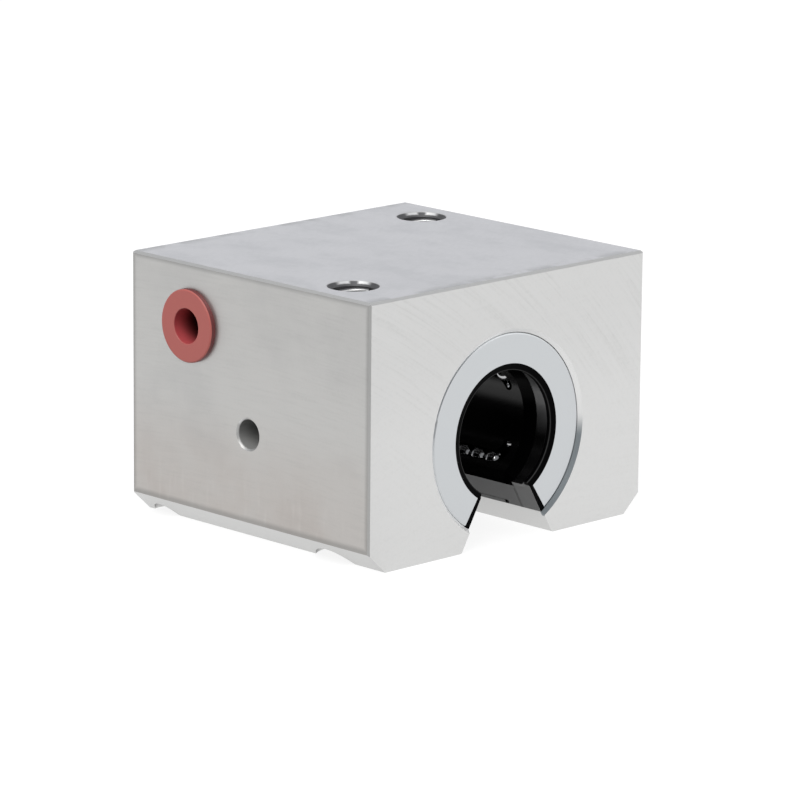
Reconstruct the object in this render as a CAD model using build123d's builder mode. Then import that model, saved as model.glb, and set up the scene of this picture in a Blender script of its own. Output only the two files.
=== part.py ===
from build123d import *
from math import cos, radians, sin, tan
import os

# Open linear ball bushing in its pillow block, standard size 20, in millimetres.
# The origin is on the shaft's axis at mid length. Y runs along the shaft and Z points up
# to the mounting face. Angles round the shaft are measured from Z and grow towards X.

# Shaft and bushing
shaft_diameter = 20.0
bushing_diameter = 32.0
bushing_length = 45.0
opening_angle = 60.0
lip_clearance = 0.02
seat_clearance = 0.02

# Pillow block
block_width = 60.0
block_length = 54.0
axis_below_mounting_face = 25.0
foot_below_bore = 1.35
foot_bevel_run = 3.6
foot_bevel_rise = 3.3
top_edge_bevel = 0.4
corner_edge_bevel = 0.3
bore_edge_bevel = 0.6
slot_edge_round = 0.5

# Mounting holes, threaded from above and counterbored from below
screw_inset_from_side = 7.0
screw_inset_from_end = 11.0
thread_core_diameter = 6.8
thread_depth = 18.0
thread_mouth_diameter = 8.2
screw_clearance_diameter = 6.4
screw_head_recess_diameter = 11.0
screw_head_recess_depth = 11.0

# Dowel holes in the underside, on the other diagonal
dowel_inset_from_side = 4.8
dowel_inset_from_end = 4.3
dowel_diameter = 6.0
dowel_depth = 10.0
dowel_mouth_bevel = 0.25

# Locating screw in the side wall
locating_hole_diameter = 4.7
locating_hole_mouth_diameter = 5.3
locating_screw_length = 7.0
locating_screw_socket_width = 2.5
locating_screw_socket_depth = 2.8
locating_screw_bevel = 0.4
locating_tip_diameter = 3.0
locating_tip_length = 1.3
locating_tip_clearance = 0.15
screw_clearance = 0.05

# Lubrication port and its protective plug
port_along = 13.3
port_up = 15.1
port_diameter = 8.0
port_depth = 10.5
port_passage_diameter = 3.0
plug_flange_diameter = 11.65
plug_flange_thickness = 0.9
plug_flange_round = 0.3
plug_length = 9.0
plug_hollow_diameter = 5.6
plug_hollow_depth = 8.2
plug_hollow_end_diameter = 4.4
plug_clearance = 0.06

# End seals
seal_thickness = 4.0
seal_case_wall = 0.8
seal_lip_height = 1.1
seal_case_end_angle = 3.5
seal_case_edge_round = 0.35
seal_lip_land = 0.7
seal_lip_setback = 0.25
seal_lip_relief = 0.85
seal_end_setback = 0.75
seal_joint_clearance = 0.02
seal_end_gap_angle = 0.1

# Balls and their circuits
ball_diameter = 3.175
ball_play = 0.1
ball_gap = 0.02
row_spread_angle = 22.0
row_length = 31.0
return_lift = 0.7
circuits = ((0, 1), (60, -1), (-60, 1), (120, 1), (-120, -1))

# Ball cage
cage_shaft_gap = 0.3
cage_collar_length = 2.85
cage_edge_angle = 2.1
cage_edge_bevel = 1.3
cage_mouth_rise = 0.5
cage_mouth_length = 2.3

# Outer sleeve
sleeve_wall = 2.73
sleeve_edge_thickness = 0.7
sleeve_edge_angle = 2.4
sleeve_clearance = 0.05
lube_groove_width = 2.0
lube_groove_depth = 0.4
lube_hole_diameter = 1.6

# Load plates
plate_span_angle = 21.0
plate_length = 29.2
plate_crown = 0.2
plate_groove_radius = 1.64
plate_groove_depth = 0.28
plate_groove_lead = 0.3
plate_side_angle = 0.3
plate_clearance = 0.08
track_clearance = 0.01

# Holding rings
ring_width = 0.7
ring_thickness = 0.75
ring_end_angle = 1.8
ring_clearance = 0.04

# Worked out from the sizes above
bore_radius = bushing_diameter / 2
body_radius = bore_radius - seat_clearance
half_block = block_length / 2
half_bushing = bushing_length / 2
block_top = axis_below_mounting_face
block_base = -bore_radius - foot_below_bore
block_left = -block_width / 2
open_half_arc = 180 - opening_angle / 2
ball_radius = ball_diameter / 2
channel_radius = ball_radius + ball_play
loaded_radius = shaft_diameter / 2 + ball_radius
return_radius = loaded_radius + return_lift
sleeve_inner_radius = body_radius - sleeve_wall
cage_radius = sleeve_inner_radius - sleeve_clearance
cage_bore_radius = shaft_diameter / 2 + cage_shaft_gap
collar_face = half_bushing - cage_collar_length
sleeve_edge_radius = body_radius - sleeve_edge_thickness
plate_inner_radius = loaded_radius + ball_radius + track_clearance - plate_groove_depth
case_inner_radius = shaft_diameter / 2 + seal_lip_height


def on_ring(radius, angle):
    """Point at this radius and angle round the shaft's axis."""
    return Vector(radius * sin(radians(angle)), 0, radius * cos(radians(angle)))


def radial_plane(angle):
    """Plane through the shaft's axis: local x is the radius, local y runs along the shaft."""
    outward = on_ring(1, angle)
    return Plane(origin=(0, 0, 0), x_dir=outward, z_dir=outward.cross(Vector(0, 1, 0)))


def on_diagonal(inset_from_side, inset_from_end, near_side, height, facing):
    """Planes of two holes on one diagonal of the block, the nearer of them on this side."""
    across = near_side * (block_width / 2 - inset_from_side)
    along = half_block - inset_from_end
    places = ((across, -along), (-across, along))
    return [Plane(origin=(x, y, height), x_dir=(1, 0, 0), z_dir=(0, 0, facing)) for x, y in places]


def left_face_plane(along, up, depth=0.0):
    """Plane in the block's left side that faces out of the block."""
    return Plane(origin=(block_left + depth, along, up), x_dir=(0, -1, 0), z_dir=(-1, 0, 0))


def save(solid, label):
    """Name a finished piece and write its file."""
    solid.label = label
    export_step(solid, f"parts/{label}.step")


# Pillow block: a sawn and milled length of aluminium, bored for the bushing and slotted
# below it, so that it passes the supports of a rail.
with BuildPart() as housing:
    with BuildSketch(Plane.XZ) as section:
        with BuildLine():
            Polyline(
                (0, block_top),
                (block_width / 2, block_top),
                (block_width / 2, block_base + foot_bevel_rise),
                (block_width / 2 - foot_bevel_run, block_base),
                (0, block_base),
            )
            mirror(about=Plane.YZ)
        make_face()
        Circle(bore_radius, mode=Mode.SUBTRACT)
        with BuildLine():
            slot_depth = 2 * block_base
            slot_reach = -slot_depth * tan(radians(opening_angle / 2))
            Polyline((0, 0), (slot_reach, slot_depth), (-slot_reach, slot_depth), close=True)
        make_face(mode=Mode.SUBTRACT)
        foot_corners = section.vertices().group_by(Axis.Y)[0].sort_by(Axis.X)
        fillet(foot_corners[1:3], slot_edge_round)
    extrude(amount=half_block, both=True)
    chamfer(housing.faces().sort_by(Axis.Z)[-1].edges(), top_edge_bevel)
    upright_edges = housing.edges().filter_by(Axis.Z)
    chamfer(upright_edges.filter_by(lambda edge: abs(edge.center().X) > bore_radius), corner_edge_bevel)
    bore_edges = housing.edges().filter_by(GeomType.CIRCLE)
    chamfer(bore_edges.filter_by(lambda edge: edge.radius == bore_radius), bore_edge_bevel)
    with Locations(*on_diagonal(screw_inset_from_side, screw_inset_from_end, -1, block_base, -1)):
        CounterBoreHole(
            radius=screw_clearance_diameter / 2,
            counter_bore_radius=screw_head_recess_diameter / 2,
            counter_bore_depth=screw_head_recess_depth,
        )
    with Locations(*on_diagonal(screw_inset_from_side, screw_inset_from_end, -1, block_top, 1)):
        CounterSinkHole(
            radius=thread_core_diameter / 2,
            counter_sink_radius=thread_mouth_diameter / 2,
            depth=thread_depth,
            counter_sink_angle=90,
        )
    with Locations(*on_diagonal(dowel_inset_from_side, dowel_inset_from_end, 1, block_base, -1)):
        CounterSinkHole(
            radius=dowel_diameter / 2,
            counter_sink_radius=dowel_diameter / 2 + dowel_mouth_bevel,
            depth=dowel_depth,
            counter_sink_angle=90,
        )
    with Locations(left_face_plane(0, 0)):
        CounterSinkHole(
            radius=locating_hole_diameter / 2,
            counter_sink_radius=locating_hole_mouth_diameter / 2,
            depth=block_width / 2,
            counter_sink_angle=90,
        )
    with Locations(left_face_plane(port_along, port_up)):
        CounterBoreHole(
            radius=port_passage_diameter / 2,
            counter_bore_radius=port_diameter / 2,
            counter_bore_depth=port_depth,
            depth=block_width / 2,
        )

# Plug that keeps chips out of the lubrication port until a nipple goes in
with BuildPart() as lube_port_plug:
    with BuildSketch(left_face_plane(port_along, port_up)):
        Circle(plug_flange_diameter / 2)
    extrude(amount=plug_flange_thickness)
    fillet(lube_port_plug.faces().sort_by(Axis.X)[0].edges(), plug_flange_round)
    with BuildSketch(left_face_plane(port_along, port_up)):
        Circle(port_diameter / 2 - plug_clearance)
    extrude(amount=-plug_length)
    chamfer(lube_port_plug.faces().sort_by(Axis.X)[-1].edges(), corner_edge_bevel)
    with BuildSketch(left_face_plane(port_along, port_up, -plug_flange_thickness)):
        Circle(plug_hollow_diameter / 2)
    with BuildSketch(left_face_plane(port_along, port_up, plug_hollow_depth)):
        Circle(plug_hollow_end_diameter / 2)
    loft(mode=Mode.SUBTRACT)
    fillet(lube_port_plug.faces().sort_by(Axis.X)[0].inner_wires().edges(), plug_flange_round / 2)

# Locating screw: its plain tip enters the outer sleeve and keeps the bushing from turning
with BuildPart() as locating_screw:
    with BuildSketch(Plane(origin=(-bore_radius, 0, 0), x_dir=(0, -1, 0), z_dir=(-1, 0, 0))):
        Circle(locating_hole_diameter / 2 - screw_clearance)
    extrude(amount=locating_screw_length)
    chamfer(locating_screw.edges().filter_by(GeomType.CIRCLE), locating_screw_bevel)
    outer_end = locating_screw.faces().sort_by(Axis.X)[0]
    with BuildSketch(Plane(origin=outer_end.center(), x_dir=(0, -1, 0), z_dir=(-1, 0, 0))):
        RegularPolygon(locating_screw_socket_width / 2, 6, major_radius=False)
    extrude(amount=-locating_screw_socket_depth, mode=Mode.SUBTRACT)
    with BuildSketch(Plane(origin=(-bore_radius, 0, 0), x_dir=(0, -1, 0), z_dir=(-1, 0, 0))):
        Circle(locating_tip_diameter / 2)
    extrude(amount=-locating_tip_length)


def circuit_plane(centre_angle, loaded_side):
    """Plane of one racetrack: local x runs along the shaft and local z points outward."""
    loaded = on_ring(loaded_radius, centre_angle + loaded_side * row_spread_angle / 2)
    returning = on_ring(return_radius, centre_angle - loaded_side * row_spread_angle / 2)
    outward = (loaded - returning).cross(Vector(0, 1, 0)) * loaded_side
    return Plane(origin=(loaded + returning) / 2, x_dir=(0, 1, 0), z_dir=outward)


def loaded_angle(centre_angle, loaded_side):
    """Angle round the shaft of the row that carries the load."""
    return centre_angle + loaded_side * row_spread_angle / 2


row_gap = on_ring(loaded_radius, row_spread_angle) - on_ring(return_radius, 0)
turn_radius = row_gap.length / 2


def racetrack(centre_angle, loaded_side):
    """Closed path of one circuit's ball centres: two rows joined by two turns."""
    with BuildLine(circuit_plane(centre_angle, loaded_side)) as path:
        Line((-row_length / 2, -turn_radius), (row_length / 2, -turn_radius))
        CenterArc((row_length / 2, 0), turn_radius, -90, 180)
        Line((row_length / 2, turn_radius), (-row_length / 2, turn_radius))
        CenterArc((-row_length / 2, 0), turn_radius, 90, 180)
    return path.wires()[0]


def ball_channel(centre_angle, loaded_side):
    """The round passage that the balls of one circuit run in."""
    track = racetrack(centre_angle, loaded_side)
    with BuildPart() as channel:
        with BuildSketch(Plane(origin=track @ 0, z_dir=track % 0)):
            Circle(channel_radius)
        sweep(path=track)
    return channel.part


# The channels are open outwards as far as the sleeve, so that the balls can be filled in.
def filling_slot(centre_angle, loaded_side):
    """The straight-walled opening above one circuit, out through the cage's back."""
    with BuildPart() as slot:
        with BuildSketch(circuit_plane(centre_angle, loaded_side)):
            SlotCenterToCenter(row_length, 2 * (turn_radius + channel_radius))
            SlotCenterToCenter(row_length, 2 * (turn_radius - channel_radius), mode=Mode.SUBTRACT)
        extrude(amount=bore_radius - cage_radius)
    return slot.part


# Cage: one moulding that guides the balls, with a collar at each end and an edge along
# each side of the opening. A loaded row looks through its bore; a return row doesn't.
with BuildPart() as ball_cage:
    with BuildSketch(radial_plane(-open_half_arc)):
        with Locations((cage_bore_radius, 0)):
            Rectangle(cage_radius - cage_bore_radius, bushing_length, align=(Align.MIN, Align.CENTER))
        for end in (-1, 1):
            with Locations((cage_bore_radius, end * (half_bushing - cage_collar_length / 2))):
                Rectangle(
                    body_radius - cage_bore_radius,
                    cage_collar_length,
                    align=(Align.MIN, Align.CENTER),
                )
    revolve(axis=Axis.Y, revolution_arc=2 * open_half_arc)
    for start_angle in (-open_half_arc, open_half_arc - cage_edge_angle):
        with BuildSketch(radial_plane(start_angle)):
            with Locations((cage_bore_radius, 0)):
                Rectangle(
                    sleeve_edge_radius - sleeve_clearance - cage_bore_radius,
                    bushing_length,
                    align=(Align.MIN, Align.CENTER),
                )
        revolve(axis=Axis.Y, revolution_arc=cage_edge_angle)
    slot_edges = ball_cage.edges().filter_by(Axis.Y).sort_by(SortBy.DISTANCE)[:2]
    chamfer(slot_edges, cage_edge_bevel)
    for end in (-1, 1):
        with BuildSketch(radial_plane(-open_half_arc)):
            with BuildLine():
                Polyline(
                    (cage_bore_radius, end * half_bushing),
                    (cage_bore_radius + cage_mouth_rise, end * half_bushing),
                    (cage_bore_radius, end * (half_bushing - cage_mouth_length)),
                    close=True,
                )
            make_face()
        revolve(axis=Axis.Y, revolution_arc=2 * open_half_arc, mode=Mode.SUBTRACT)
    for circuit in circuits:
        add(ball_channel(*circuit), mode=Mode.SUBTRACT)
        add(filling_slot(*circuit), mode=Mode.SUBTRACT)
        with BuildSketch(radial_plane(loaded_angle(*circuit) - plate_span_angle / 2)):
            with Locations((plate_inner_radius - plate_clearance, 0)):
                Rectangle(bore_radius, plate_length + 2 * plate_clearance, align=(Align.MIN, Align.CENTER))
        revolve(axis=Axis.Y, revolution_arc=plate_span_angle, mode=Mode.SUBTRACT)

# Outer sleeve: snapped over the cage between its collars, windowed for the load plates
with BuildPart() as outer_sleeve:
    sleeve_length = 2 * (collar_face - sleeve_clearance)
    with BuildSketch(radial_plane(-open_half_arc)):
        with Locations((sleeve_inner_radius, 0)):
            Rectangle(body_radius - sleeve_inner_radius, sleeve_length, align=(Align.MIN, Align.CENTER))
        for end in (-1, 1):
            with Locations((body_radius, end * sleeve_length / 2)):
                Rectangle(
                    2 * (ring_thickness + ring_clearance),
                    2 * (ring_width + ring_clearance),
                    mode=Mode.SUBTRACT,
                )
    revolve(axis=Axis.Y, revolution_arc=2 * open_half_arc)
    for start_angle in (-open_half_arc, open_half_arc - sleeve_edge_angle):
        with BuildSketch(radial_plane(start_angle)):
            Rectangle(sleeve_edge_radius, bushing_length, align=(Align.MIN, Align.CENTER))
        revolve(axis=Axis.Y, revolution_arc=sleeve_edge_angle, mode=Mode.SUBTRACT)
    for circuit in circuits:
        add(ball_channel(*circuit), mode=Mode.SUBTRACT)
        with BuildSketch(radial_plane(loaded_angle(*circuit) - plate_span_angle / 2)):
            Rectangle(2 * bore_radius, plate_length + 2 * plate_clearance, align=(Align.MIN, Align.CENTER))
        revolve(axis=Axis.Y, revolution_arc=plate_span_angle, mode=Mode.SUBTRACT)
    with BuildSketch(Plane(origin=(-bore_radius, 0, 0), x_dir=(0, -1, 0), z_dir=(-1, 0, 0))):
        Circle(locating_tip_diameter / 2 + locating_tip_clearance)
    extrude(amount=-locating_tip_length - locating_tip_clearance, mode=Mode.SUBTRACT)
    groove_half_arc = open_half_arc - 2 * sleeve_edge_angle
    with BuildSketch(radial_plane(-groove_half_arc)):
        with Locations((body_radius, port_along)):
            Rectangle(2 * lube_groove_depth, lube_groove_width)
    revolve(axis=Axis.Y, revolution_arc=2 * groove_half_arc, mode=Mode.SUBTRACT)
    for centre_angle, loaded_side in circuits:
        returning = on_ring(body_radius, centre_angle - loaded_side * row_spread_angle / 2)
        with BuildSketch(Plane(origin=returning + Vector(0, port_along, 0), z_dir=returning)):
            Circle(lube_hole_diameter / 2)
        extrude(amount=-sleeve_wall, mode=Mode.SUBTRACT)


def load_plate(centre_angle, loaded_side):
    """Hardened plate behind one loaded row, with a crowned back that lets it rock."""
    angle = loaded_angle(centre_angle, loaded_side)
    back_radius = bore_radius - track_clearance
    groove_centre = on_ring(loaded_radius + ball_radius + track_clearance - plate_groove_radius, angle)
    with BuildPart() as plate:
        with BuildSketch(radial_plane(angle - plate_span_angle / 2 + plate_side_angle)):
            with BuildLine():
                Polyline(
                    (back_radius - plate_crown, -plate_length / 2),
                    (plate_inner_radius, -plate_length / 2),
                    (plate_inner_radius, plate_length / 2),
                    (back_radius - plate_crown, plate_length / 2),
                )
                ThreePointArc(
                    (back_radius - plate_crown, plate_length / 2),
                    (back_radius, 0),
                    (back_radius - plate_crown, -plate_length / 2),
                )
            make_face()
        revolve(axis=Axis.Y, revolution_arc=plate_span_angle - 2 * plate_side_angle)
        with BuildSketch(Plane.XZ):
            with Locations((groove_centre.X, groove_centre.Z)):
                Circle(plate_groove_radius)
        extrude(amount=plate_length, both=True, mode=Mode.SUBTRACT)
        arcs = plate.edges().filter_by(GeomType.CIRCLE)
        chamfer(arcs.filter_by(lambda edge: edge.radius < ball_diameter), plate_groove_lead)
    return plate.part


def ball_circuit(centre_angle, loaded_side):
    """The balls of one circuit, each almost touching the next, with less than a ball to spare."""
    track = racetrack(centre_angle, loaded_side)
    pitch = ball_diameter + ball_gap
    steps = round(track.length / ball_gap)
    places = [track @ 0]
    for step in range(1, steps):
        here = track @ (step / steps)
        if min((here - places[-1]).length, (here - places[0]).length) >= pitch:
            places.append(here)
    with BuildPart() as balls:
        with Locations(*places):
            Sphere(ball_radius)
    return balls.part


def holding_ring(end):
    """Spring steel ring in the step at one end of the sleeve."""
    with BuildPart() as ring:
        with BuildSketch(radial_plane(-open_half_arc + ring_end_angle)):
            with Locations((body_radius, end * (sleeve_length - ring_width - ring_clearance) / 2)):
                Rectangle(ring_thickness, ring_width, align=(Align.MAX, Align.CENTER))
        revolve(axis=Axis.Y, revolution_arc=2 * (open_half_arc - ring_end_angle))
    return ring.part


def seal_case(end):
    """Pressed steel ring of one end seal, as wide as the bushing, with a rounded outer edge."""
    outer_face = end * (half_bushing + seal_thickness)
    inner_edge = end * (half_bushing + seal_joint_clearance)
    with BuildPart() as case:
        with BuildSketch(radial_plane(-open_half_arc + seal_case_end_angle)) as profile:
            with BuildLine():
                Polyline(
                    (case_inner_radius, outer_face),
                    (body_radius, outer_face),
                    (body_radius, inner_edge),
                    (body_radius - seal_case_wall, inner_edge),
                    (body_radius - seal_case_wall, outer_face - end * seal_case_wall),
                    (case_inner_radius, outer_face - end * seal_case_wall),
                    close=True,
                )
            make_face()
            outer_corner = profile.vertices().sort_by(lambda corner: corner.X + end * corner.Y)[-1]
            fillet(outer_corner, seal_case_edge_round)
        revolve(axis=Axis.Y, revolution_arc=2 * (open_half_arc - seal_case_end_angle))
    return case.part


def seal_lip(end):
    """Rubber of one end seal: the wiping lip, its body in the case and the two end faces."""
    outer_face = end * (half_bushing + seal_thickness)
    lip_radius = shaft_diameter / 2 + lip_clearance
    relief_radius = lip_radius + seal_lip_relief
    end_radius = shaft_diameter / 2 + seal_end_setback
    mouth_radius = case_inner_radius - seal_joint_clearance
    rim_radius = body_radius - seal_case_wall - seal_joint_clearance
    lip_back = seal_lip_setback + seal_lip_land
    body_front = seal_case_wall + seal_joint_clearance
    body_back = seal_thickness - seal_joint_clearance
    with BuildPart() as lip:
        with BuildSketch(radial_plane(-open_half_arc)):
            with BuildLine():
                Polyline(
                    (mouth_radius, outer_face),
                    (lip_radius, outer_face - end * seal_lip_setback),
                    (lip_radius, outer_face - end * lip_back),
                    (relief_radius, outer_face - end * (lip_back + seal_lip_relief)),
                    (relief_radius, outer_face - end * body_back),
                    (rim_radius, outer_face - end * body_back),
                    (rim_radius, outer_face - end * body_front),
                    (mouth_radius, outer_face - end * body_front),
                    close=True,
                )
            make_face()
        revolve(axis=Axis.Y, revolution_arc=2 * open_half_arc)
        end_arc = seal_case_end_angle - seal_end_gap_angle
        for start_angle in (-open_half_arc, open_half_arc - end_arc):
            with BuildSketch(radial_plane(start_angle)):
                with Locations((end_radius, outer_face - end * body_back / 2)):
                    Rectangle(
                        body_radius - end_radius,
                        body_back,
                        align=(Align.MIN, Align.CENTER),
                    )
            revolve(axis=Axis.Y, revolution_arc=end_arc)
    return lip.part


os.makedirs("parts", exist_ok=True)
save(housing.part, "housing")
save(lube_port_plug.part, "lube_port_plug")
save(locating_screw.part, "locating_screw")
save(ball_cage.part, "ball_cage")
save(outer_sleeve.part, "outer_sleeve")
for number, circuit in enumerate(circuits, start=1):
    save(load_plate(*circuit), f"load_plate_{number}")
    save(ball_circuit(*circuit), f"ball_circuit_{number}")
for place, end in (("front", -1), ("rear", 1)):
    save(holding_ring(end), f"{place}_holding_ring")
    save(seal_case(end), f"{place}_seal_case")
    save(seal_lip(end), f"{place}_seal_lip")
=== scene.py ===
from math import radians

import bpy
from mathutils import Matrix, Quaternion, Vector


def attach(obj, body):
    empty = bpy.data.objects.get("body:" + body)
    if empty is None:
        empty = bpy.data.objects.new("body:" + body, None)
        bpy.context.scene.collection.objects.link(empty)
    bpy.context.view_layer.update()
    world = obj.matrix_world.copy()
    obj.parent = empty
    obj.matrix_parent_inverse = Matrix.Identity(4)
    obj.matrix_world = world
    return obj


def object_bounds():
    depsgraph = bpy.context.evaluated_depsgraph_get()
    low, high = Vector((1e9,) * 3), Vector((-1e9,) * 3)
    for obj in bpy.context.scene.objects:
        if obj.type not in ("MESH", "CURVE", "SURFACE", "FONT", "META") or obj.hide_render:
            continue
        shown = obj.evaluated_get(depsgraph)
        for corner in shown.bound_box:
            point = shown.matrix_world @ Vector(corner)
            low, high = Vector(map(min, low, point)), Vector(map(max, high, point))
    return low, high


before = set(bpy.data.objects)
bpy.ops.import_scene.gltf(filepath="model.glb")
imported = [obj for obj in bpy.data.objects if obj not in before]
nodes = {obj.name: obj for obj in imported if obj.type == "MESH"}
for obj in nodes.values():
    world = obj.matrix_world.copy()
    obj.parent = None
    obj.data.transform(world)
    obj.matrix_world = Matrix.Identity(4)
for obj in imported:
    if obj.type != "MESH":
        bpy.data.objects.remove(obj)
cad_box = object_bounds()
bpy.ops.object.select_all(action="DESELECT")
bpy.context.scene.view_settings.view_transform = "Standard"


# Pillow block. A bar of extruded aluminium, bored and slotted for the bushing, and left bare. Its
# ends are fly-cut, so wide arcs cross them. Its sides are milled along the bar, and its top at a
# slant across it.

class Finish:
    """A material under work: its nodes are added and joined by short calls."""

    def __init__(self, name, colour, metallic, roughness):
        self.material = bpy.data.materials.new(name)
        self.material.use_nodes = True
        self.tree = self.material.node_tree
        self.shader = self.tree.nodes["Principled BSDF"]
        self.shader.inputs["Base Color"].default_value = (*colour, 1)
        self.shader.inputs["Metallic"].default_value = metallic
        self.shader.inputs["Roughness"].default_value = roughness
        self.place = self.tree.nodes.new("ShaderNodeTexCoord").outputs["Object"]
        self.facing = self.tree.nodes.new("ShaderNodeTexCoord").outputs["Normal"]

    def feed(self, value, socket):
        """Put a number, a colour or another node's output into a socket."""
        if isinstance(value, bpy.types.NodeSocket):
            self.tree.links.new(value, socket)
        else:
            socket.default_value = value

    def maths(self, operation, first, second=0.0, third=0.0):
        """One arithmetic step on numbers or outputs."""
        node = self.tree.nodes.new("ShaderNodeMath")
        node.operation = operation
        for value, socket in zip((first, second, third), node.inputs):
            self.feed(value, socket)
        return node.outputs[0]

    def times(self, *shares):
        """Several shares multiplied together."""
        product = shares[0]
        for share in shares[1:]:
            product = self.maths("MULTIPLY", product, share)
        return product

    def distance(self, first, second):
        """How far a place is from a line, given its two offsets from it."""
        squares = self.maths("ADD", self.maths("POWER", first, 2), self.maths("POWER", second, 2))
        return self.maths("SQRT", squares)

    def split(self, vector):
        """The x, y and z of a vector."""
        node = self.tree.nodes.new("ShaderNodeSeparateXYZ")
        self.feed(vector, node.inputs[0])
        return node.outputs

    def join(self, x, y, z):
        """A vector of three numbers or outputs."""
        node = self.tree.nodes.new("ShaderNodeCombineXYZ")
        for value, socket in zip((x, y, z), node.inputs):
            self.feed(value, socket)
        return node.outputs[0]

    def stretched(self, scale):
        """The place on the piece, scaled along each axis."""
        node = self.tree.nodes.new("ShaderNodeMapping")
        self.feed(self.place, node.inputs["Vector"])
        node.inputs["Scale"].default_value = scale
        return node.outputs[0]

    def noise(self, vector, scale, detail, roughness=0.5):
        """Cloudy pattern, about half on average."""
        node = self.tree.nodes.new("ShaderNodeTexNoise")
        self.feed(vector, node.inputs["Vector"])
        node.inputs["Scale"].default_value = scale
        node.inputs["Detail"].default_value = detail
        node.inputs["Roughness"].default_value = roughness
        return node.outputs["Fac"]

    def band(self, value, low, high, from_value=0.0, to_value=1.0):
        """Turn a range of a value into another range, smoothly and without overshoot."""
        node = self.tree.nodes.new("ShaderNodeMapRange")
        node.interpolation_type = "SMOOTHSTEP"
        for number, socket in zip((value, low, high, from_value, to_value), node.inputs):
            self.feed(number, socket)
        return node.outputs[0]

    def mix(self, share, first, second):
        """Blend two colours by a share."""
        node = self.tree.nodes.new("ShaderNodeMix")
        node.data_type = "RGBA"
        self.feed(share, node.inputs["Factor"])
        self.feed(first, node.inputs["A"])
        self.feed(second, node.inputs["B"])
        return node.outputs["Result"]

    def bump(self, height, distance, strength):
        """Raise the surface by a pattern, in metres."""
        node = self.tree.nodes.new("ShaderNodeBump")
        node.inputs["Strength"].default_value = strength
        node.inputs["Distance"].default_value = distance
        self.feed(height, node.inputs["Height"])
        self.feed(node.outputs[0], self.shader.inputs["Normal"])

    def put_on(self, *names):
        """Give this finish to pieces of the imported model."""
        for name in names:
            for slot in nodes[name].material_slots:
                slot.material = self.material


aluminium = Finish("bare milled aluminium", (0.66, 0.66, 0.655), metallic=1.0, roughness=0.42)
x, y, z = aluminium.split(aluminium.place)
nx, ny, nz = aluminium.split(aluminium.facing)
facing_x = aluminium.maths("ABSOLUTE", nx)
facing_y = aluminium.maths("ABSOLUTE", ny)
on_end = aluminium.band(facing_y, 0.9, 0.99)
on_side = aluminium.band(facing_x, 0.9, 0.99)
on_top = aluminium.band(nz, 0.9, 0.99)


def arcs(finish, across, along, centre, fine, ragged):
    """Cutter marks on arcs about one point: streaks that change fast across and slowly along."""
    off_across = finish.maths("SUBTRACT", across, centre[0])
    off_along = finish.maths("SUBTRACT", along, centre[1])
    radius = finish.times(finish.distance(off_across, off_along), fine)
    angle = finish.times(finish.maths("ARCTAN2", off_across, off_along), ragged)
    streaks = finish.noise(finish.join(radius, angle, 0), 1.0, 3.0, 0.6)
    return finish.maths("SUBTRACT", streaks, 0.5)


# The end cutter left one strong set of arcs, shown in patches, and a weaker one as it came back.
return_strength, side_strength, top_strength, grain_strength = 0.22, 0.7, 0.5, 0.3
mark_depth = 0.00003
sweep = arcs(aluminium, x, z, centre=(-0.075, -0.07), fine=1900, ragged=5)
return_sweep = arcs(aluminium, x, z, centre=(0.02, -0.16), fine=1900, ragged=12)
patches = aluminium.band(aluminium.noise(aluminium.place, 60, 2), 0.36, 0.6)
sweep_shown = aluminium.times(patches, aluminium.band(z, -0.006, 0.014, 0.25, 1.0))
end_marks = aluminium.times(return_sweep, return_strength)
end_marks = aluminium.maths("MULTIPLY_ADD", sweep, sweep_shown, end_marks)
side_marks = arcs(aluminium, y, z, centre=(0.0, -0.3), fine=2400, ragged=40)
side_marks = aluminium.times(side_marks, side_strength)
top_marks = arcs(aluminium, x, y, centre=(-0.2, 0.35), fine=1500, ragged=120)
top_marks = aluminium.times(top_marks, top_strength)
grain = aluminium.maths("SUBTRACT", aluminium.noise(aluminium.place, 2500, 2), 0.5)
marks = aluminium.times(on_end, end_marks)
marks = aluminium.maths("MULTIPLY_ADD", on_side, side_marks, marks)
marks = aluminium.maths("MULTIPLY_ADD", on_top, top_marks, marks)
marks = aluminium.maths("MULTIPLY_ADD", grain, grain_strength, marks)
aluminium.bump(marks, mark_depth, 0.6)

# Handling clouded the sides and smeared the top. The sides are browner towards the foot, with
# pale upright wipes there.
clean_foot = (0.66, 0.66, 0.655, 1)
clean_end = (0.625, 0.625, 0.62, 1)
# The sides and the top are painted darker than the ends: painted shade for how the light falls on them.
side_tone_painted_shade = (0.56, 0.555, 0.543, 1)
top_tone_painted_shade = (0.475, 0.47, 0.478, 1)
brown = (0.505, 0.47, 0.445, 1)
wiped = (0.7, 0.68, 0.66, 1)
smeared = (0.36, 0.36, 0.37, 1)
cut_groove = (0.42, 0.42, 0.41, 1)
cloud = aluminium.noise(aluminium.place, 55, 4, 0.6)
low = aluminium.band(z, 0.006, -0.012)
stain = aluminium.times(on_side, low, aluminium.band(cloud, 0.3, 0.62, 0.5, 1.0))
wipes = aluminium.band(aluminium.noise(aluminium.stretched((0, 900, 170)), 1.0, 3), 0.5, 0.75)
wipes = aluminium.times(wipes, aluminium.band(z, -0.004, -0.011))
smears = aluminium.noise(aluminium.stretched((150, 90, 150)), 1.0, 6, 0.68)
tone = aluminium.mix(aluminium.band(z, 0.0, 0.018), clean_foot, clean_end)
tone = aluminium.mix(on_side, tone, side_tone_painted_shade)
tone = aluminium.mix(on_top, tone, top_tone_painted_shade)
tone = aluminium.mix(stain, tone, brown)
tone = aluminium.mix(aluminium.times(wipes, stain, 0.2), tone, wiped)
mottled = aluminium.times(on_side, aluminium.band(cloud, 0.44, 0.68), 0.16)
smears = aluminium.band(smears, 0.4, 0.72, 0.0, 0.5)
mottled = aluminium.maths("MULTIPLY_ADD", on_top, smears, mottled)
tone = aluminium.mix(mottled, tone, smeared)
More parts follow.
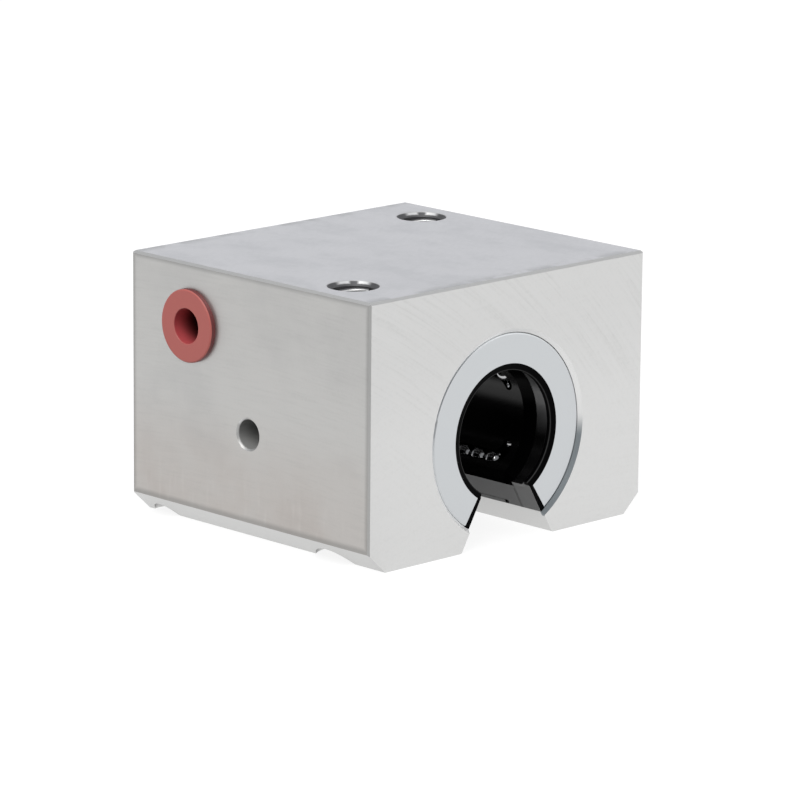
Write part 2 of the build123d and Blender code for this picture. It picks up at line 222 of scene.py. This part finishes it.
tone = aluminium.mix(aluminium.band(marks, -0.05, 0.32, 0.0, 0.24), tone, cut_groove)

# Edges: the upright corner edges are painted dark, a painted reflection. A thin line round each side
# is painted shade, and oil darkens the top in patches near its ends. The slopes beside the feet are clean.
foot_bevel_rise = 0.0033
edge_shade_and_oil = (0.22, 0.22, 0.215, 1)
clean_slope = (0.65, 0.65, 0.645, 1)
to_end = aluminium.maths("SUBTRACT", cad_box[1][1], aluminium.maths("ABSOLUTE", y))
to_top = aluminium.maths("SUBTRACT", cad_box[1][2], z)
to_foot = aluminium.maths("SUBTRACT", z, cad_box[0][2] + foot_bevel_rise)
to_edge = aluminium.maths("MINIMUM", aluminium.maths("MINIMUM", to_end, to_top), to_foot)
# A thin dark line round each side: painted shade.
side_rim_shade = aluminium.times(on_side, aluminium.band(to_edge, 0.0012, 0.0003), 0.5)
fingered = aluminium.band(aluminium.noise(aluminium.place, 260, 3), 0.42, 0.62)
top_rim = aluminium.times(on_top, aluminium.band(to_end, 0.0032, 0.0004), fingered, 0.5)
# The upright corner edges: painted dark reflection.
corner_dark_reflection = aluminium.times(aluminium.band(facing_x, 0.3, 0.6), aluminium.band(facing_y, 0.3, 0.6), 0.5)
shaded_and_oiled_edges = aluminium.maths("MAXIMUM", aluminium.maths("MAXIMUM", side_rim_shade, top_rim), corner_dark_reflection)
tone = aluminium.mix(shaded_and_oiled_edges, tone, edge_shade_and_oil)
foot_slope = aluminium.times(aluminium.band(nz, -0.3, -0.5), aluminium.band(facing_x, 0.3, 0.5))
tone = aluminium.mix(foot_slope, tone, clean_slope)

# Bore's bevel and side hole: the bevel carries a painted highlight, white on its left, with painted
# shade on its lower right, and the hole's wall is dull.
bevel_highlight_right = (0.78, 0.78, 0.775, 1)
bevel_highlight_left = (1, 1, 1, 1)
bevel_lower_right_shade = (0.16, 0.19, 0.21, 1)
hole_shade = (0.34, 0.34, 0.335, 1)
off_bore = aluminium.distance(x, z)
bevel = aluminium.times(aluminium.band(facing_y, 0.95, 0.85), aluminium.band(to_end, 0.0007, 0.0006))
bevel = aluminium.times(aluminium.band(off_bore, 0.0169, 0.0167), bevel)
# The bevel's brightness, white on its left, is a painted highlight.
bevel_highlight = aluminium.mix(aluminium.band(x, 0.0, -0.004), bevel_highlight_right, bevel_highlight_left)
tone = aluminium.mix(bevel, tone, bevel_highlight)
lower_right = aluminium.times(aluminium.band(z, 0.001, -0.003), aluminium.band(x, -0.004, 0.002))
# Painted shade, bluish, on the bevel's lower right.
tone = aluminium.mix(aluminium.times(bevel, lower_right, 0.85), tone, bevel_lower_right_shade)
in_hole = aluminium.band(aluminium.distance(y, z), 0.0027, 0.0024)
in_hole = aluminium.times(in_hole, aluminium.band(x, -0.0299, -0.0295), aluminium.band(x, 0.0, -0.001))
tone = aluminium.mix(in_hole, tone, hole_shade)

# Mounting holes: the bevel at each mouth carries a painted highlight, crossed by bands of painted dark
# reflection. The tapped wall has painted shade, between painted highlights on the thread's crests.
mouth_and_crest_highlight = (0.85, 0.85, 0.85, 1)
hole_wall_painted_shade = (0.15, 0.15, 0.155, 1)
screw_across, screw_along = 0.023, 0.016
which = aluminium.maths("SIGN", x)
from_screw_x = aluminium.maths("SUBTRACT", x, aluminium.times(which, screw_across))
from_screw_y = aluminium.maths("SUBTRACT", y, aluminium.times(which, screw_along))
off_screw = aluminium.distance(from_screw_x, from_screw_y)
diagonal = 1.414
dark_reflection_bands = aluminium.maths("SUBTRACT", from_screw_x, from_screw_y)
dark_reflection_bands = aluminium.maths("DIVIDE", dark_reflection_bands, aluminium.times(off_screw, diagonal))
dark_reflection_bands = aluminium.maths("ABSOLUTE", dark_reflection_bands)
# Bands of painted dark reflection across the mouth, and painted shade down the wall.
painted_dark_mask = aluminium.maths("MAXIMUM", aluminium.band(dark_reflection_bands, 0.25, 0.1), aluminium.band(dark_reflection_bands, 0.5, 0.75))
painted_dark_mask = aluminium.maths("MAXIMUM", painted_dark_mask, aluminium.band(off_screw, 0.0038, 0.0036))
painted_dark_mask = aluminium.times(painted_dark_mask, aluminium.band(off_screw, 0.0032, 0.0033))
in_mouth = aluminium.band(off_screw, 0.0042, 0.0041)
in_mouth = aluminium.times(in_mouth, aluminium.band(to_top, 0.00002, 0.00012))
tone = aluminium.mix(in_mouth, tone, aluminium.mix(painted_dark_mask, mouth_and_crest_highlight, hole_wall_painted_shade))
aluminium.feed(tone, aluminium.shader.inputs["Base Color"])
aluminium.feed(aluminium.band(in_hole, 0.0, 1.0, 1.0, 0.1), aluminium.shader.inputs["Metallic"])

flat = aluminium.maths("MAXIMUM", aluminium.maths("MAXIMUM", on_end, on_side), on_top)
roughness = aluminium.maths("MULTIPLY_ADD", flat, -0.1, 0.52)
roughness = aluminium.maths("MULTIPLY_ADD", marks, 0.15, roughness)
roughness = aluminium.maths("MULTIPLY_ADD", in_hole, 0.35, roughness)
aluminium.feed(roughness, aluminium.shader.inputs["Roughness"])
aluminium.put_on("housing")


# Threads. The mounting holes are tapped from above and the side hole for its set screw: a ridge
# winds round the wall of each, of the block's own metal.

def add_thread(name, hole_radius, pitch, turns, ridge):
    """A three-sided ridge wound down the inside of a hole that opens upwards at the origin."""
    upright = (radians(90), 0, 0)
    half_width = 0.45 * pitch
    steps_per_turn = 48
    bpy.ops.mesh.primitive_circle_add(vertices=3, radius=1, location=(hole_radius, 0, 0), rotation=upright)
    thread = bpy.context.object
    thread.name = name
    thread.rotation_euler.y = radians(-90)
    thread.scale = (half_width, ridge, 1)
    bpy.ops.object.transform_apply()
    winding = thread.modifiers.new("winding", "SCREW")
    winding.screw_offset = -pitch
    winding.iterations = turns
    winding.steps = winding.render_steps = steps_per_turn
    bpy.ops.object.modifier_apply(modifier=winding.name)
    bpy.ops.object.mode_set(mode="EDIT")
    bpy.ops.mesh.select_all(action="SELECT")
    bpy.ops.mesh.remove_doubles(threshold=0.000001)
    bpy.ops.mesh.fill_holes(sides=3)
    bpy.ops.mesh.normals_make_consistent(inside=False)
    bpy.ops.mesh.set_sharpness_by_angle(angle=radians(30))
    bpy.ops.object.mode_set(mode="OBJECT")
    thread.data.materials.append(aluminium.material)
    return thread


def fit_thread(thread, place, turn=(0, 0, 0)):
    """Set a thread in its hole, with its place in its mesh."""
    thread.location = place
    thread.rotation_euler = turn
    bpy.ops.object.select_all(action="DESELECT")
    thread.select_set(True)
    bpy.context.view_layer.objects.active = thread
    bpy.ops.object.transform_apply()
    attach(thread, "block")


mounting_thread_top = 0.0238
near_thread = add_thread("near_mounting_thread", hole_radius=0.0034, pitch=0.00125, turns=13, ridge=0.00026)
far_thread = near_thread.copy()
far_thread.data = near_thread.data.copy()
far_thread.name = "far_mounting_thread"
bpy.context.scene.collection.objects.link(far_thread)
fit_thread(near_thread, (-screw_across, -screw_along, mounting_thread_top))
fit_thread(far_thread, (screw_across, screw_along, mounting_thread_top))

side_thread_start = -0.0292
side_thread = add_thread("locating_thread", hole_radius=0.00235, pitch=0.0008, turns=7, ridge=0.00002)
fit_thread(side_thread, (side_thread_start, 0, 0), turn=(0, radians(-90), 0))


# Plug. A red moulded cap with a hollow stem, pressed by hand into the lubrication port, where it
# keeps chips out until a nipple replaces it.

red_plastic = Finish("red moulded plastic", (0.6, 0.16, 0.14), metallic=0.0, roughness=0.42)
port_along, port_up = 0.0133, 0.0151
face_red = (0.6, 0.16, 0.14, 1)
# The rim that faces round is painted darker: painted shade.
rim_painted_shade = (0.2, 0.045, 0.045, 1)
hollow_red = (0.62, 0.1, 0.11, 1)
hollow_end_painted_shade = (0.04, 0.003, 0.003, 1)
x, y, z = red_plastic.split(red_plastic.place)
nx = red_plastic.split(red_plastic.facing)[0]
around = red_plastic.band(red_plastic.maths("ABSOLUTE", nx), 0.5, 0.2)
tone = red_plastic.mix(around, face_red, rim_painted_shade)
from_port_y = red_plastic.maths("SUBTRACT", y, port_along)
from_port_z = red_plastic.maths("SUBTRACT", z, port_up)
off_port = red_plastic.distance(from_port_y, from_port_z)
hollow = red_plastic.times(red_plastic.band(off_port, 0.0029, 0.0028), around)
# The hollow stem darkens towards its end: painted shade.
hollow_tone_with_shade = red_plastic.mix(red_plastic.band(x, -0.0305, -0.0265), hollow_red, hollow_end_painted_shade)
tone = red_plastic.mix(hollow, tone, hollow_tone_with_shade)
red_plastic.feed(tone, red_plastic.shader.inputs["Base Color"])
red_plastic.bump(red_plastic.noise(red_plastic.place, 900, 3), 0.00003, 0.35)
red_plastic.put_on("lube_port_plug")


# Locating screw. A set screw of oxide-black steel, screwed into the side hole until its tip enters
# the bushing's sleeve, where it keeps the bushing from turning.

oxide = Finish("black oxide steel", (0.03, 0.03, 0.03), metallic=0.6, roughness=0.45)
oxide.put_on("locating_screw")


# End seals. A ring of pressed steel, bright zinc plated, sits in the bore at each end of the
# bushing. It holds a moulded rubber lip that wipes the shaft.

zinc = Finish("bright zinc plate", (0.56, 0.578, 0.592), metallic=1.0, roughness=0.3)
zinc.put_on("front_seal_case", "rear_seal_case")

# The lip's front edge carries a pale painted highlight. Behind it the rubber is glossy, with a painted
# highlight on each side. The ends at the slot are matte grey where cut, lightened by a painted reflection,
# with a dark joint where they meet the cage.
black = (0.0012, 0.0012, 0.0014)
cut_grey_and_sheen = (0.185, 0.185, 0.187, 1)
joint_black = (0.008, 0.008, 0.008, 1)
lip_edge_highlight_grey = (0.06, 0.06, 0.06, 1)
side_highlight_grey = (0.1, 0.1, 0.102, 1)
rubber = Finish("black moulded rubber", black, metallic=0.0, roughness=0.5)
x, y, z = rubber.split(rubber.place)
ny, nz = rubber.split(rubber.facing)[1:]
along = rubber.maths("ABSOLUTE", y)
facing_y = rubber.maths("ABSOLUTE", ny)
off_axis = rubber.distance(x, z)
inside = rubber.times(rubber.band(off_axis, 0.0112, 0.011), rubber.band(along, 0.0256, 0.0252))
# A lighter patch on each side behind the lip: painted highlight.
side_highlight_spot = rubber.times(inside, rubber.band(z, -0.003, 0.002), rubber.band(z, 0.0065, 0.003))
cut_end = rubber.times(rubber.band(nz, -0.3, -0.45), rubber.band(facing_y, 0.4, 0.2))
cut_end = rubber.times(cut_end, rubber.band(off_axis, 0.0105, 0.0108))
joint = rubber.times(cut_end, rubber.band(along, 0.0229, 0.0226))
# A pale painted highlight along the lip's front edge.
lip_edge_highlight = rubber.times(rubber.band(off_axis, 0.0102, 0.0101), rubber.band(along, 0.0261, 0.0262))
# The cut ends are matte grey, lightened further by a painted reflection.
tone = rubber.mix(cut_end, (*black, 1), cut_grey_and_sheen)
tone = rubber.mix(joint, tone, joint_black)
tone = rubber.mix(lip_edge_highlight, tone, lip_edge_highlight_grey)
tone = rubber.mix(side_highlight_spot, tone, side_highlight_grey)
rubber.feed(tone, rubber.shader.inputs["Base Color"])
gloss = rubber.maths("MAXIMUM", inside, cut_end)
rubber.feed(rubber.maths("MULTIPLY_ADD", gloss, 0.7, 0.02), rubber.shader.inputs["Specular IOR Level"])
rubber.feed(rubber.maths("MULTIPLY_ADD", inside, -0.25, 0.5), rubber.shader.inputs["Roughness"])
rubber.bump(rubber.noise(rubber.place, 1800, 2), 0.00001, 0.5)
rubber.put_on("front_seal_lip", "rear_seal_lip")


# Bushing. A glossy black cage in a sleeve of the same plastic guides five circuits of polished
# balls, which run on ground steel plates; a spring ring at each end holds the plates in.

# The moulded edge at the slot is satin grey, lightened by a painted reflection, with a line where the
# sleeve begins and a dark joint at each end. The cage's mouths, in the shade of the lips, are duller than
# its bore.
cage_plastic = Finish("black cage plastic", black, metallic=0.0, roughness=0.2)
edge_grey_and_sheen = (0.155, 0.155, 0.157, 1)
line_grey = (0.02, 0.02, 0.02, 1)
end_joint_black = (0.004, 0.004, 0.004, 1)
x, y, z = cage_plastic.split(cage_plastic.place)
nz = cage_plastic.split(cage_plastic.facing)[2]
along = cage_plastic.maths("ABSOLUTE", y)
off_axis = cage_plastic.distance(x, z)
moulded_edge = cage_plastic.band(nz, -0.3, -0.45)
moulded_edge = cage_plastic.times(moulded_edge, cage_plastic.band(z, -0.0075, -0.0085))
off_edge = cage_plastic.band(moulded_edge, 0.5, 0.4)
mouth = cage_plastic.times(cage_plastic.band(along, 0.0201, 0.0203), off_edge)
sleeve_line = cage_plastic.band(off_axis, 0.0149, 0.0152)
sleeve_line = cage_plastic.times(sleeve_line, cage_plastic.band(off_axis, 0.0156, 0.0154))
sleeve_line = cage_plastic.times(sleeve_line, cage_plastic.band(along, 0.0197, 0.0195), 0.6)
joint_line = cage_plastic.band(off_axis, 0.0118, 0.0124)
joint_line = cage_plastic.times(joint_line, cage_plastic.band(along, 0.0221, 0.0224))
tone = cage_plastic.mix(moulded_edge, (*black, 1), edge_grey_and_sheen)
tone = cage_plastic.mix(sleeve_line, tone, line_grey)
tone = cage_plastic.mix(joint_line, tone, end_joint_black)
cage_plastic.feed(tone, cage_plastic.shader.inputs["Base Color"])
gloss = cage_plastic.maths("MULTIPLY_ADD", moulded_edge, 0.45, 0.19)
gloss = cage_plastic.maths("MULTIPLY_ADD", mouth, -0.17, gloss)
cage_plastic.feed(gloss, cage_plastic.shader.inputs["Specular IOR Level"])
roughness = cage_plastic.maths("MULTIPLY_ADD", moulded_edge, 0.3, 0.2)
cage_plastic.feed(roughness, cage_plastic.shader.inputs["Roughness"])
cage_plastic.put_on("ball_cage", "outer_sleeve")

ground = Finish("ground steel", (0.5, 0.5, 0.5), metallic=1.0, roughness=0.3)
polished = Finish("polished ball steel", (0.5, 0.5, 0.51), metallic=1.0, roughness=0.12)
for name in nodes:
    if name.startswith("load_plate") or name.endswith("holding_ring"):
        ground.put_on(name)
    if name.startswith("ball_circuit"):
        polished.put_on(name)


# Floor, light and camera. A pale table under four soft studio lamps, seen from the front left through
# a long lens. The table's glow shows to the camera and in reflections only.

floor_size = 6.0
floor_height = cad_box[0][2]
bpy.ops.mesh.primitive_plane_add(size=floor_size, location=(0, 0, floor_height))
floor = bpy.context.object
floor.name = "table"
table_top = Finish("pale table", (0.2, 0.2, 0.2), metallic=0.0, roughness=1.0)
table_top.shader.inputs["Specular IOR Level"].default_value = 0
table_top.shader.inputs["Emission Color"].default_value = (1, 1, 1, 1)
seen_by = table_top.tree.nodes.new("ShaderNodeLightPath").outputs
seen = table_top.maths("MAXIMUM", seen_by["Is Camera Ray"], seen_by["Is Glossy Ray"])
seen = table_top.maths("MAXIMUM", seen, seen_by["Is Transmission Ray"])
table_glow = 0.88
table_top.feed(table_top.times(seen, table_glow), table_top.shader.inputs["Emission Strength"])
floor.data.materials.append(table_top.material)

world = bpy.data.worlds.new("studio")
bpy.context.scene.world = world
world.use_nodes = True
world.node_tree.nodes["Background"].inputs["Color"].default_value = (0.95, 0.97, 1.0, 1)
world.node_tree.nodes["Background"].inputs["Strength"].default_value = 0.32


def add_softbox(name, place, width, power, colour):
    """A square area lamp that faces the object."""
    light = bpy.data.lights.new(name, "AREA")
    light.size = width
    light.energy = power
    light.color = colour
    lamp = bpy.data.objects.new(name, light)
    lamp.location = place
    lamp.rotation_euler = (-Vector(place)).to_track_quat("-Z", "Y").to_euler()
    bpy.context.scene.collection.objects.link(lamp)


add_softbox("front softbox", (1.05, -1.07, 0.5), width=1.4, power=7.5, colour=(1.0, 0.995, 0.985))
add_softbox("back softbox", (1.1, 1.15, 0.5), width=1.4, power=5.2, colour=(0.94, 0.96, 1.0))
add_softbox("side softbox", (-1.0, -0.35, 1.1), width=1.0, power=13.0, colour=(1.0, 0.99, 0.97))
add_softbox("overhead softbox", (0.3, 0.45, 1.4), width=2.6, power=10.0, colour=(0.98, 0.985, 1.0))

camera_azimuth = radians(44.38)
camera_elevation = radians(13.24)
camera_roll = 0.009
camera_distance = 0.75185
camera_target = Vector((-0.0236, -0.027, 0.0092))
camera_lens = 223.8

backward = Vector((0, -1, 0))
backward.rotate(Quaternion((1, 0, 0), -camera_elevation))
backward.rotate(Quaternion((0, 0, 1), -camera_azimuth))
camera_data = bpy.data.cameras.new("camera")
camera_data.lens = camera_lens
camera_data.sensor_width = 36
camera_data.clip_start = 0.01
camera = bpy.data.objects.new("camera", camera_data)
camera.location = camera_target + camera_distance * backward
turn = (-backward).to_track_quat("-Z", "Y") @ Quaternion((0, 0, 1), camera_roll)
camera.rotation_euler = turn.to_euler()
bpy.context.scene.collection.objects.link(camera)
bpy.context.scene.camera = camera
